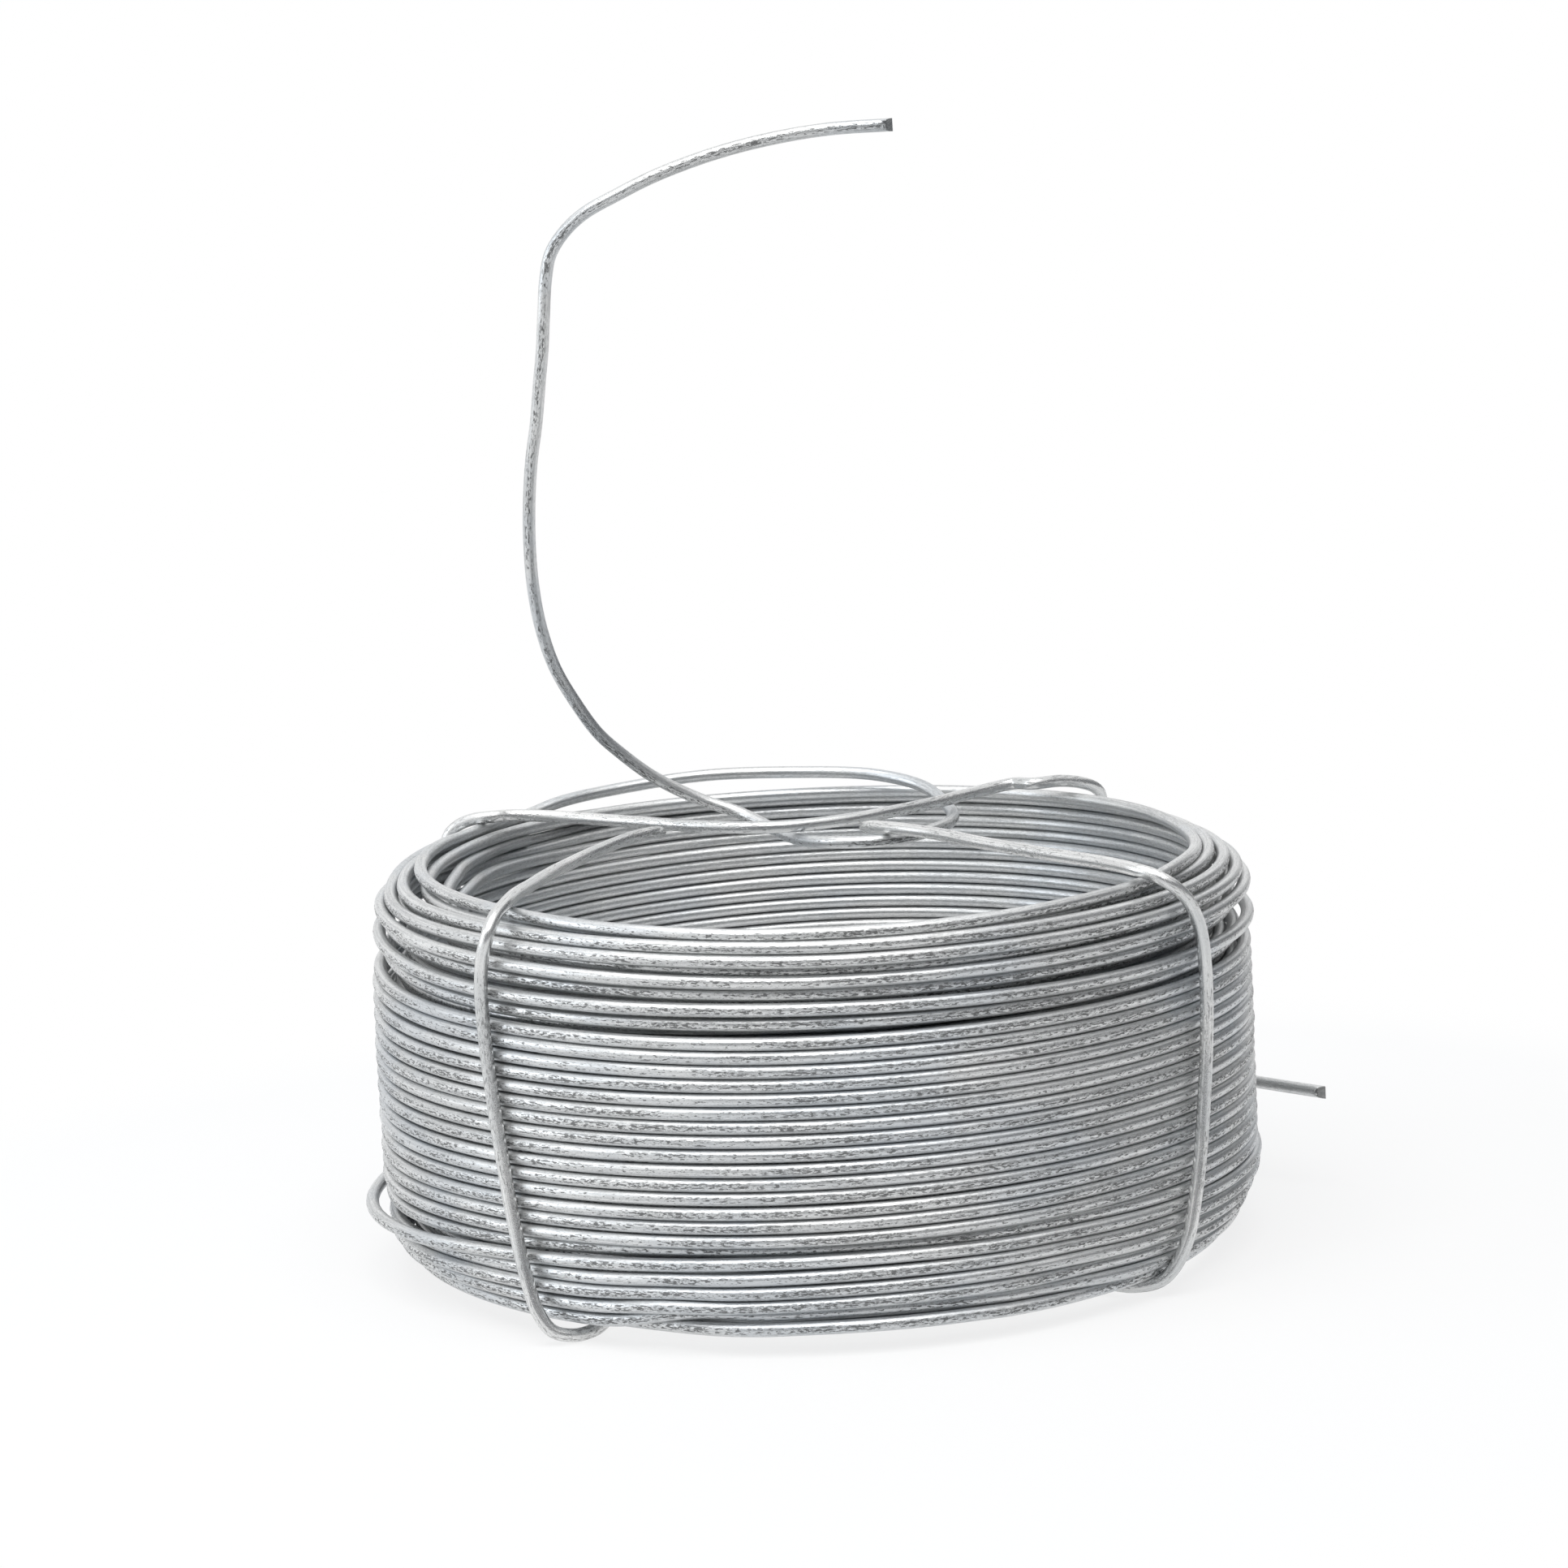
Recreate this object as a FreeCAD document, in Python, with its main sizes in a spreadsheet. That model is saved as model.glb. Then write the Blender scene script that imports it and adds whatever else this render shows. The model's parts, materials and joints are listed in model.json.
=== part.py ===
import FreeCAD, Part
import math
import os
import Sketcher

# A coil of galvanized steel wire that lies flat, tied in four places by one bent tie wire.
# The coil's axis is Z, the floor is Z = 0 and -Y is the front.
# Angles go round the axis from the front, positive towards +X.

Vector = FreeCAD.Vector

# Driving dimensions, in millimetres and degrees
SIZES = [
    ("wire_diameter", 2.0, "drawn wire, zinc included"),
    ("bore_diameter", 122.0, "inside of the innermost turns"),
    ("layer_count", 4, "turns side by side across the wall"),
    ("layer_step", 1.75, "turns of one layer nest between those of the next"),
    ("turn_rows", 29, "turns one above another"),
    ("row_step", 2.03, "height from one turn to the next"),
    ("crest_width", 0.9, "flat that stands for the round back of a turn"),
    ("valley_depth", 0.5, "between two turns"),
    ("crown_rows", 2, "rows by which the outermost turns end below the innermost"),
    ("foot_width", 0.95, "outer bottom edge, in from the wall"),
    ("foot_height", 1.7, "outer bottom edge, up the wall"),
    ("tie_clearance", 0.15, "between the tie and the turns that it holds"),
    ("tie_drop", 0.9, "the tie's loops hang this far below their seat"),
    ("rim_bend", 4.6, "bend of the tie's centre line at the four top corners"),
    ("foot_bend", 3.8, "bend of the tie's centre line at the four bottom corners"),
    ("tie_rise", 2.5, "upper tie run above the lower one where they cross"),
    ("front_left_top", -42.5, "angle of a leg at the rim"),
    ("front_left_middle", -44.2, "angle of a leg halfway down"),
    ("front_left_foot", -38.0, "angle of a leg at the bottom"),
    ("front_right_top", 49.3, "angle of a leg at the rim"),
    ("front_right_middle", 55.6, "angle of a leg halfway down"),
    ("front_right_foot", 44.0, "angle of a leg at the bottom"),
    ("back_right_top", 135.2, "angle of a leg at the rim"),
    ("back_right_foot", 144.0, "angle of a leg at the bottom"),
    ("back_left_top", -121.5, "angle of a leg at the rim"),
    ("back_left_foot", -131.0, "angle of a leg at the bottom"),
    ("span_pull", 19.0, "the tie's middle span passes this far behind the axis"),
    ("short_end_height", 12.5, "centre line of the short end above the coil's bottom"),
    ("short_end_length", 44.0, "straight stretch of the short end"),
    ("short_end_angle", 134.0, "where the short end leaves the wall"),
    ("nip_angle", 34.0, "slope of the two faces that the cutter left on an end"),
]

# Bends of the long end: x, y and height above the coil's top turns
LONG_END_BENDS = [
    (-48.3, 42.0, 0.75),
    (-40.9, 51.4, 1.30),
    (-31.2, 57.8, 2.20),
    (-17.0, 62.0, 3.05),
    (-1.5, 61.2, 2.95),
    (11.4, 57.2, 2.50),
    (19.4, 50.6, 1.10),
    (23.2, 41.0, -1.30),
    (23.0, 29.0, -1.45),
    (18.6, 17.0, -1.45),
    (12.0, 8.6, -1.45),
    (4.6, 9.0, -1.50),
    (-3.2, 19.8, -1.60),
    (-8.0, 28.0, 0.40),
    (-14.0, 31.0, 2.80),
    (-22.2, 29.9, 6.70),
    (-29.8, 28.0, 12.80),
    (-36.3, 26.0, 21.60),
    (-40.7, 23.0, 33.80),
    (-41.6, 19.3, 47.50),
    (-40.4, 16.0, 60.20),
    (-38.4, 13.4, 72.00),
    (-37.0, 11.6, 82.50),
    (-36.0, 10.9, 92.00),
    (-31.6, 10.0, 98.20),
    (-23.4, 9.0, 102.40),
    (-13.6, 8.2, 106.30),
    (-3.0, 7.6, 109.10),
    (18.3, 7.0, 110.20),
]

# Bends of the tie inside the rim: x, y behind the point where its span lies nearest the front,
# and drop below the seat on the rim
FRONT_LEFT_HOOK = [
    (-23.4, 3.4, 0.5),
    (-33.2, -18.0, 0.0),
]
SPAN_BENDS = [
    (20.9, 14.0, 0.2),
    (-4.5, -1.0, 0.3),
    (-30.0, 10.5, 0.1),
]
FRONT_RIGHT_HOOK = [
    (31.6, -36.4, 0.0),
    (19.0, -17.0, 0.1),
    (9.3, 0.2, 0.6),
]


def make_sheet(doc):
    """Put every driving dimension in a spreadsheet cell with an alias."""
    sheet = doc.addObject("Spreadsheet::Sheet", "sizes")
    for row, (alias, value, note) in enumerate(SIZES, start=1):
        sheet.set(f"A{row}", alias)
        sheet.set(f"B{row}", str(value))
        sheet.set(f"C{row}", note)
        sheet.setAlias(f"B{row}", alias)
    doc.recompute()
    return sheet


# Sizes that follow from the driving ones, as expressions for the sketches
COIL_BOTTOM = "(sizes.wire_diameter + sizes.tie_drop)"
COIL_HEIGHT = "(sizes.turn_rows * sizes.row_step)"
COIL_TOP = f"({COIL_BOTTOM} + {COIL_HEIGHT})"
BORE_RADIUS = "(sizes.bore_diameter / 2)"
WALL = "(sizes.wire_diameter + (sizes.layer_count - 1) * sizes.layer_step)"
OUTER_RADIUS = f"({BORE_RADIUS} + {WALL})"
CROWN_DROP = "(sizes.crown_rows * sizes.row_step)"


class Measures:
    """The same derived sizes as numbers, for the bent wires."""

    def __init__(self, sheet):
        for alias, _, _ in SIZES:
            setattr(self, alias, float(sheet.get(alias)))
        self.wire_radius = self.wire_diameter / 2
        self.bore_radius = self.bore_diameter / 2
        self.wall = self.wire_diameter + (self.layer_count - 1) * self.layer_step
        self.outer_radius = self.bore_radius + self.wall
        self.coil_bottom = self.wire_diameter + self.tie_drop
        self.coil_top = self.coil_bottom + self.turn_rows * self.row_step
        self.leg_radius = self.outer_radius + self.wire_radius + self.tie_clearance
        self.over_rim = self.coil_top + self.wire_radius + self.tie_clearance
        self.under_wall = self.coil_bottom - self.wire_radius - self.tie_clearance


def origin_plane(body, role):
    """Find one of a body's own origin planes."""
    for feature in body.Origin.OriginFeatures:
        if feature.Role == role:
            return feature
    raise ValueError(role)


def polygon_sketch(body, name, outline, m):
    """Draw a closed outline on the XZ plane, each corner held by two bound distances."""
    sketch = body.newObject("Sketcher::SketchObject", name)
    sketch.AttachmentSupport = [(origin_plane(body, "XZ_Plane"), "")]
    sketch.MapMode = "FlatFace"
    count = len(outline)
    # The corners start on a rough circle, and their distances then place them
    start = []
    for corner in range(count):
        turn = 2 * math.pi * corner / count
        across = m.outer_radius + m.wall * math.cos(turn)
        start.append(Vector(across, m.outer_radius + m.wall * math.sin(turn), 0))
    for corner in range(count):
        line = Part.LineSegment(start[corner], start[(corner + 1) % count])
        sketch.addGeometry(line, False)
    for line in range(count):
        sketch.addConstraint(Sketcher.Constraint("Coincident", line, 2, (line + 1) % count, 1))
    for line, (across, up) in enumerate(outline):
        for kind, value, expression in (
            ("DistanceX", start[line].x, across),
            ("DistanceY", start[line].y, up),
        ):
            held = sketch.addConstraint(Sketcher.Constraint(kind, -1, 1, line, 1, value))
            sketch.setExpression(f"Constraints[{held}]", expression)
    return sketch


def turned(body, kind, name, sketch):
    """Turn a sketch about the coil's axis, as a solid or as a groove."""
    feature = body.newObject(kind, name)
    feature.Profile = sketch
    feature.ReferenceAxis = (sketch, ["V_Axis"])
    feature.Angle = 360
    sketch.Visibility = False
    return feature


def layer_radius(layer):
    """The centre of one layer's turns."""
    return f"({BORE_RADIUS} + sizes.wire_diameter / 2 + {layer} * sizes.layer_step)"


def end_outline(m, end, inward, drop):
    """Corners of one end of the wall, from the bore outwards: a crest for each layer of turns.

    The outer layers' crests lie further in, by a share of drop that grows as the square.
    """
    layers = int(m.layer_count)
    corners = []
    for layer in range(layers):
        share = (layer / (layers - 1)) ** 2
        crest = f"({end} + {inward} * {share:.6f} * {drop})"
        corners.append((f"({layer_radius(layer)} - sizes.crest_width / 2)", crest))
        corners.append((f"({layer_radius(layer)} + sizes.crest_width / 2)", crest))
        if layer < layers - 1:
            lower = ((layer + 1) / (layers - 1)) ** 2
            valley = f"({end} + {inward} * ({lower:.6f} * {drop} + sizes.valley_depth))"
            corners.append((f"({layer_radius(layer)} + sizes.layer_step / 2)", valley))
    return corners


def wall_outline(m):
    """The section of the winding: both ends with their turns, and the two walls."""
    edge = "sizes.valley_depth"
    bottom = end_outline(m, COIL_BOTTOM, 1, "0")
    bottom[-1] = (f"({OUTER_RADIUS} - sizes.foot_width)", COIL_BOTTOM)
    top = end_outline(m, COIL_TOP, -1, CROWN_DROP)
    return [
        (BORE_RADIUS, f"({COIL_BOTTOM} + {edge})"),
        *bottom,
        (OUTER_RADIUS, f"({COIL_BOTTOM} + sizes.foot_height)"),
        (OUTER_RADIUS, f"({COIL_TOP} - {CROWN_DROP} - {edge})"),
        *reversed(top),
        (BORE_RADIUS, f"({COIL_TOP} - {edge})"),
    ]


def make_wound_coil(doc, m):
    """The winding as one turned solid: its bore, the turns on its ends and the rows on its wall."""
    body = doc.addObject("PartDesign::Body", "wound_coil")
    body.Label = "wound_coil"
    wall_sketch = polygon_sketch(body, "wall_section", wall_outline(m), m)
    turned(body, "PartDesign::Revolution", "wall", wall_sketch)
    doc.recompute()

    # One valley between the two lowest rows outside, repeated up the wall
    first = f"({COIL_BOTTOM} + sizes.row_step)"
    mouth = "(sizes.row_step - sizes.crest_width)"
    valley = [
        (f"({OUTER_RADIUS} - sizes.valley_depth)", first),
        (f"({OUTER_RADIUS} + sizes.valley_depth)", f"({first} - {mouth})"),
        (f"({OUTER_RADIUS} + sizes.valley_depth)", f"({first} + {mouth})"),
    ]
    valley_sketch = polygon_sketch(body, "row_valley_section", valley, m)
    groove = turned(body, "PartDesign::Groove", "row_valley", valley_sketch)
    doc.recompute()
    rows = "(sizes.turn_rows - sizes.crown_rows)"
    pattern = body.newObject("PartDesign::LinearPattern", "row_valleys")
    pattern.Originals = [groove]
    pattern.Direction = (valley_sketch, ["V_Axis"])
    pattern.setExpression("Length", f"({rows} - 2) * sizes.row_step")
    pattern.setExpression("Occurrences", f"{rows} - 1")
    body.Tip = pattern
    doc.recompute()
    return body


def around(radius, angle, height):
    """A point at a radius and angle round the coil's axis."""
    turn = math.radians(angle)
    return Vector(radius * math.sin(turn), -radius * math.cos(turn), height)


def bent_wire(points, radii, wire_radius):
    """Sweep a round section along straight runs joined by tangent arcs."""
    edges = []
    here = points[0]
    for index in range(1, len(points) - 1):
        corner = points[index]
        into = (corner - points[index - 1]).normalize()
        out = (points[index + 1] - corner).normalize()
        turn = into.getAngle(out)
        run = min((corner - points[index - 1]).Length, (points[index + 1] - corner).Length)
        radius = radii.get(index, 0.45 * run / math.tan(turn / 2))
        setback = radius * math.tan(turn / 2)
        start = corner - into * setback
        end = corner + out * setback
        inward = (out - into).normalize()
        middle = corner + inward * (radius / math.cos(turn / 2) - radius)
        edges.append(Part.LineSegment(here, start).toShape())
        edges.append(Part.Arc(start, middle, end).toShape())
        here = end
    edges.append(Part.LineSegment(here, points[-1]).toShape())
    path = Part.Wire(edges)
    along = (points[1] - points[0]).normalize()
    circle = Part.Circle(points[0], along, wire_radius)
    swept = path.makePipe(Part.Face(Part.Wire(circle.toShape())))
    expected = math.pi * wire_radius**2 * path.Length
    return swept, path.Length, expected


def nip(shape, tip, along, side, m):
    """Cut the wedge that a side cutter leaves on a wire's end."""
    # Just over the wire's own width, so that the cut spares a wire that lies beside it
    half = 1.05 * m.wire_radius
    slope = math.radians(m.nip_angle)
    reach = half / math.sin(slope)
    cheek = side.cross(along).normalize()
    for sign in (1, -1):
        edge = tip - side * half
        into_face = along * -math.cos(slope) + cheek * sign * math.sin(slope)
        away = along * math.sin(slope) + cheek * sign * math.cos(slope)
        corners = [
            edge - into_face * half,
            edge + into_face * reach,
            edge + into_face * reach + away * half,
            edge - into_face * half + away * half,
        ]
        face = Part.Face(Part.makePolygon(corners + corners[:1]))
        shape = shape.cut(face.extrude(side * 2 * half))
    return shape


def wire_piece(doc, label, shape):
    """Keep a bent wire as a feature of the document under its own label."""
    feature = doc.addObject("Part::Feature", label)
    feature.Label = label
    feature.Shape = shape
    feature.Placement = FreeCAD.Placement()
    return feature


def inside_rim(m, bends):
    """Corner points of the tie inside the rim."""
    return [Vector(x, m.span_pull + back, m.over_rim - drop) for x, back, drop in bends]


def tie_route(m):
    """Corner points of the tie wire, from its front left hook to its front right hook."""
    top = m.over_rim
    leg = m.leg_radius
    lower = m.under_wall
    upper = lower + m.tie_rise
    inside = m.bore_radius - m.wall
    # Each loop's lowest point then touches the floor, and its run under the wall rises to the seat
    foot = m.wire_radius - m.foot_bend * (lower - m.wire_radius) / (leg - inside)
    half = (m.coil_bottom + m.coil_top) / 2
    quarter = m.coil_bottom + (m.coil_top - m.coil_bottom) / 4
    points = [
        *inside_rim(m, FRONT_LEFT_HOOK),
        around(leg, m.front_left_top, top),
        around(leg, m.front_left_middle, half + 8),
        around(leg, (m.front_left_middle + m.front_left_foot) / 2, quarter),
        around(leg, m.front_left_foot, foot),
        around(inside, m.front_left_foot + 1, lower),
        around(inside, m.back_right_foot + 1, lower),
        around(leg, m.back_right_foot, foot),
        around(leg, (m.back_right_foot + m.back_right_top) / 2 + 1.5, half),
        around(leg, m.back_right_top, top),
        *inside_rim(m, SPAN_BENDS),
        around(leg, m.back_left_top, top),
        around(leg, (m.back_left_foot + m.back_left_top) / 2 + 1.5, half),
        around(leg, m.back_left_foot, foot),
        around(inside, m.back_left_foot - 1, lower),
        Vector(0, 0, upper),
        around(inside, m.front_right_foot + 1, lower),
        around(leg, m.front_right_foot, foot),
        around(leg, (m.front_right_middle + m.front_right_foot) / 2, quarter),
        around(leg, m.front_right_middle, half + 8),
        around(leg, m.front_right_top, top),
        *inside_rim(m, FRONT_RIGHT_HOOK),
    ]
    radii = {index: m.rim_bend for index in (2, 10, 14, 23)}
    radii.update({index: m.foot_bend for index in (5, 8, 16, 20)})
    return points, radii


def make_tie_wire(doc, m):
    """The tie wire, bent close round the coil, with cutter marks on both ends."""
    points, radii = tie_route(m)
    shape, length, expected = bent_wire(points, radii, m.wire_radius)
    print("tie wire length", round(length, 1), "volume", round(shape.Volume / expected, 4))
    for tip, beside in ((points[0], points[1]), (points[-1], points[-2])):
        along = (tip - beside).normalize()
        shape = nip(shape, tip, along, along.cross(Vector(0, 0, 1)).normalize(), m)
    return wire_piece(doc, "tie_wire", shape)


def make_long_end(doc, m):
    """The long free end: off the top turns, a loop under the tie, then up and over."""
    points = [Vector(x, y, m.coil_top + up) for x, y, up in LONG_END_BENDS]
    shape, length, expected = bent_wire(points, {}, m.wire_radius)
    print("long end length", round(length, 1), "volume", round(shape.Volume / expected, 4))
    along = (points[-1] - points[-2]).normalize()
    shape = nip(shape, points[-1], along, Vector(0, 0, 1), m)
    return wire_piece(doc, "long_end", shape)


def make_short_end(doc, m):
    """The short free end: it follows the wall a little way and leaves it straight."""
    height = m.coil_bottom + m.short_end_height
    leave = around(m.leg_radius, m.short_end_angle, height)
    turn = math.radians(m.short_end_angle)
    ahead = Vector(-math.cos(turn), -math.sin(turn), 0)
    start = around(m.leg_radius, m.short_end_angle + 6.5, height)
    tip = leave + ahead * m.short_end_length
    shape, length, expected = bent_wire([start, leave, tip], {}, m.wire_radius)
    print("short end length", round(length, 1), "volume", round(shape.Volume / expected, 4))
    shape = nip(shape, tip, ahead, Vector(0, 0, 1), m)
    return wire_piece(doc, "short_end", shape)


doc = FreeCAD.newDocument("wire_coil")
sheet = make_sheet(doc)
measures = Measures(sheet)
pieces = [
    make_wound_coil(doc, measures),
    make_long_end(doc, measures),
    make_short_end(doc, measures),
    make_tie_wire(doc, measures),
]
doc.recompute()

for item in doc.Objects:
    if "Invalid" in item.State or "Error" in item.State:
        raise RuntimeError(f"{item.Name} failed: {item.State}")
for piece in pieces:
    if piece.Shape.isNull() or not piece.Shape.isValid() or len(piece.Shape.Solids) != 1:
        raise RuntimeError(f"{piece.Label} isn't one valid solid")

os.makedirs("parts", exist_ok=True)
for piece in pieces:
    piece.Shape.exportStep(f"parts/{piece.Label}.step")
    box = piece.Shape.BoundBox
    low = (round(box.XMin, 2), round(box.YMin, 2), round(box.ZMin, 2))
    high = (round(box.XMax, 2), round(box.YMax, 2), round(box.ZMax, 2))
    print(piece.Label, "volume", round(piece.Shape.Volume, 1), "from", low, "to", high)
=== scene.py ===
"""A tied coil of galvanized wire: every turn, the tie and the two free ends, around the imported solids."""

import json
import logging
import math
from dataclasses import dataclass, field
from enum import Enum

import bmesh
import bpy
import numpy as np
from mathutils import Matrix, Vector


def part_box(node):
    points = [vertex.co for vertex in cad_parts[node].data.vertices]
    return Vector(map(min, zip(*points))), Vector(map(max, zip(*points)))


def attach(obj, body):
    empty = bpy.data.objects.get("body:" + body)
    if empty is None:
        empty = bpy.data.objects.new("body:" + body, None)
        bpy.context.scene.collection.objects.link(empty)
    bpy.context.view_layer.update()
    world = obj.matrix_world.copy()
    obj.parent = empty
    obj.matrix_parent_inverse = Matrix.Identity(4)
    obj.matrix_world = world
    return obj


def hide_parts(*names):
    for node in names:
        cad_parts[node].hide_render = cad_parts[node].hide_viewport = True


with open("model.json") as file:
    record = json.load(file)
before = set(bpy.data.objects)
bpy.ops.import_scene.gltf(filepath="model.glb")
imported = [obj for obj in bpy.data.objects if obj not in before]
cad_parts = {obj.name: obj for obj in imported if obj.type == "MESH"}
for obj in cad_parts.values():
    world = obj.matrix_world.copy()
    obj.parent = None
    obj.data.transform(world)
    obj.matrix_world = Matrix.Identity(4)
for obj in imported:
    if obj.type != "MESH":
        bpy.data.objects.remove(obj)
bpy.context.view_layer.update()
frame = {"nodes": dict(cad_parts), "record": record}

LOG = logging.getLogger("wire_coil")
MM = 0.001
BODY = "root"
UP = (0.0, 0.0, 1.0)

# A colour, a pattern's scale, a point, or the three given numbers that place a bend
Triple = tuple[float, float, float]


class Slot(Enum):
    """The record's two material slots."""

    COIL_WIRE = "coil_wire"
    TIE_WIRE = "tie_wire"


class CurveNormal(Enum):
    """How a swept section turns along its path."""

    UPRIGHT = "Z_UP"
    LEAST_TWIST = "MINIMUM_TWIST"


def around(radius: float, azimuth: float, height: float) -> np.ndarray:
    """A point beside the coil's axis.

    Args:
        radius: distance from the axis, in millimetres.
        azimuth: degrees round the axis from the front, positive towards +X.
        height: height above the floor, in millimetres.

    Returns:
        The point as x, y, z in millimetres.
    """
    turn = math.radians(azimuth)
    return np.array([radius * math.sin(turn), -radius * math.cos(turn), height])


def smooth_line(points: list[np.ndarray], step: float) -> np.ndarray:
    """A centripetal Catmull-Rom curve through given points.

    Args:
        points: the points to pass through, in millimetres.
        step: the largest distance between two results, in millimetres.

    Returns:
        The curve's points, one row each.
    """
    knots = np.array(points, float)
    ends = [2 * knots[0] - knots[1], *knots, 2 * knots[-1] - knots[-2]]
    line = [knots[0]]
    for before, start, end, after in zip(ends, ends[1:], ends[2:], ends[3:]):
        times = [0.0]
        for one, other in ((before, start), (start, end), (end, after)):
            times.append(times[-1] + math.sqrt(np.linalg.norm(other - one)))
        t0, t1, t2, t3 = times
        pieces = max(2, math.ceil(np.linalg.norm(end - start) / step))
        for t in np.linspace(t1, t2, pieces + 1)[1:]:
            a1 = (t1 - t) / (t1 - t0) * before + (t - t0) / (t1 - t0) * start
            a2 = (t2 - t) / (t2 - t1) * start + (t - t1) / (t2 - t1) * end
            a3 = (t3 - t) / (t3 - t2) * end + (t - t2) / (t3 - t2) * after
            b1 = (t2 - t) / (t2 - t0) * a1 + (t - t0) / (t2 - t0) * a2
            b2 = (t3 - t) / (t3 - t1) * a2 + (t - t1) / (t3 - t1) * a3
            line.append((t2 - t) / (t2 - t1) * b1 + (t - t1) / (t2 - t1) * b2)
    return np.array(line)


class Wave:
    """A smooth random curve made of a few sines, the same on every run."""

    def __init__(self, seed: int, terms: int, slowest: float, fastest: float) -> None:
        """Draw the sines.

        Args:
            seed: fixes the draw.
            terms: how many sines are added.
            slowest: fewest cycles in one turn of the coil.
            fastest: most cycles in one turn of the coil.
        """
        draw = np.random.RandomState(seed)
        self.cycles = draw.uniform(slowest, fastest, terms)
        self.phases = draw.uniform(0, 2 * math.pi, terms)
        self.terms = terms

    def at(self, turns: np.ndarray) -> np.ndarray:
        """The curve, about -1 to 1, at places given in turns of the coil."""
        waves = np.sin(2 * math.pi * np.outer(turns, self.cycles) + self.phases)
        return waves.sum(axis=1) / math.sqrt(self.terms)


@dataclass(frozen=True)
class CoilSizes:
    """The winding's sizes in millimetres, with the bore and the outside as radii."""

    wire: float
    bore: float
    outside: float
    bottom: float
    top: float

    @classmethod
    def from_frame(cls) -> "CoilSizes":
        """Read the sizes off the wound coil's solid and the long end's mount.

        Returns:
            The sizes.
        """
        low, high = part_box("wound_coil")
        mesh = frame["nodes"]["wound_coil"].data
        places = np.zeros(len(mesh.vertices) * 3)
        mesh.vertices.foreach_get("co", places)
        places = places.reshape(-1, 3)
        mounts = {mount["name"]: mount for mount in frame["record"]["mounts"]}
        return cls(
            wire=2 * mounts["long_end_tip"]["dims"]["r_mm"],
            bore=float(np.hypot(places[:, 0], places[:, 1]).min()) / MM,
            outside=high.x / MM,
            bottom=low.z / MM,
            top=high.z / MM,
        )


class Socket:
    """A shader value that Python's operators turn into Math nodes."""

    def __init__(self, graph: "Graph", link: bpy.types.NodeSocket) -> None:
        """Wrap one output socket of a graph."""
        self.graph = graph
        self.link = link

    def _math(self, operation: str, *values: "Socket | float") -> "Socket":
        """Add one Math node."""
        inputs = dict(enumerate(values))
        return self.graph.add("ShaderNodeMath", {"operation": operation}, inputs)[0]

    def __add__(self, other: "Socket | float") -> "Socket":
        """Sum."""
        return self._math("ADD", self, other)

    def __radd__(self, other: float) -> "Socket":
        """Sum, number first."""
        return self._math("ADD", other, self)

    def __sub__(self, other: "Socket | float") -> "Socket":
        """Difference."""
        return self._math("SUBTRACT", self, other)

    def __rsub__(self, other: float) -> "Socket":
        """Difference, number first."""
        return self._math("SUBTRACT", other, self)

    def __mul__(self, other: "Socket | float") -> "Socket":
        """Product."""
        return self._math("MULTIPLY", self, other)

    def __rmul__(self, other: float) -> "Socket":
        """Product, number first."""
        return self._math("MULTIPLY", other, self)

    def __truediv__(self, other: "Socket | float") -> "Socket":
        """Quotient."""
        return self._math("DIVIDE", self, other)

    def highest(self, other: "Socket | float") -> "Socket":
        """The greater of two values."""
        return self._math("MAXIMUM", self, other)

    def lowest(self, other: "Socket | float") -> "Socket":
        """The lesser of two values."""
        return self._math("MINIMUM", self, other)

    def ramp(self, start: float, end: float) -> "Socket":
        """A smooth step, which falls where end is less than start.

        Args:
            start: the value at which it is still 0.
            end: the value at which it has reached 1.

        Returns:
            The step, from 0 to 1.
        """
        settings = {"interpolation_type": "SMOOTHSTEP", "clamp": True}
        low, high = min(start, end), max(start, end)
        values = {"Value": self, "From Min": low, "From Max": high}
        rising = self.graph.add("ShaderNodeMapRange", settings, values)[0]
        return rising if start < end else 1 - rising


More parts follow.
